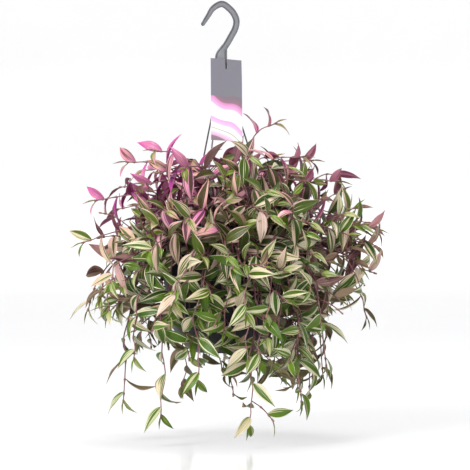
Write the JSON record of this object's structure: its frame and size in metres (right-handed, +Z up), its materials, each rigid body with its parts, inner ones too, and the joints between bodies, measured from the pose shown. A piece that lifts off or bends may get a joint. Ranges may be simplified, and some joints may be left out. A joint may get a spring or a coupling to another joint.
{
  "type": "potted tradescantia",
  "caption": "Variegated tradescantia with trailing leafy stems in a round plastic hanging pot, on a rod hanger with an open hook and a card tag",
  "frame": {"origin": "where a rail bears on the inside of the hook's crown", "axes": "+Z up through the hook's crown, the front with the card faces -Y, +X to the right seen from the front"},
  "size_m": [0.4092, 0.3896, 0.5521],
  "materials": {
    "hanger_plastic": "satin moulded grey plastic",
    "pot_plastic": "satin anthracite plastic",
    "soil": null,
    "card": "coated printed card",
    "foliage": null
  },
  "bodies": {
    "root": {"hook": "hanger_plastic", "hanger_rod_1": "hanger_plastic", "hanger_rod_2": "hanger_plastic", "hanger_rod_3": "hanger_plastic", "pot": "pot_plastic", "soil": "soil", "card_tag": "card", "leafy_stem_01": "foliage", "leafy_stem_02": "foliage", "leafy_stem_03": "foliage", "leafy_stem_04": "foliage", "leafy_stem_05": "foliage", "leafy_stem_06": "foliage", "leafy_stem_07": "foliage", "leafy_stem_08": "foliage", "leafy_stem_09": "foliage", "leafy_stem_10": "foliage", "leafy_stem_11": "foliage", "leafy_stem_12": "foliage", "leafy_stem_13": "foliage", "leafy_stem_14": "foliage", "leafy_stem_15": "foliage", "leafy_stem_16": "foliage", "leafy_stem_17": "foliage", "leafy_stem_18": "foliage", "leafy_stem_19": "foliage", "leafy_stem_20": "foliage", "leafy_stem_21": "foliage", "leafy_stem_22": "foliage", "leafy_stem_23": "foliage", "leafy_stem_24": "foliage", "leafy_stem_25": "foliage", "leafy_stem_26": "foliage", "leafy_stem_27": "foliage", "leafy_stem_28": "foliage", "leafy_stem_29": "foliage", "leafy_stem_30": "foliage", "leafy_stem_31": "foliage", "leafy_stem_32": "foliage", "leafy_stem_33": "foliage", "leafy_stem_34": "foliage", "leafy_stem_35": "foliage", "leafy_stem_36": "foliage", "leafy_stem_37": "foliage", "leafy_stem_38": "foliage", "leafy_stem_39": "foliage", "leafy_stem_40": "foliage", "leafy_stem_41": "foliage", "leafy_stem_42": "foliage", "leafy_stem_43": "foliage", "leafy_stem_44": "foliage"}
  },
  "joints": []
}
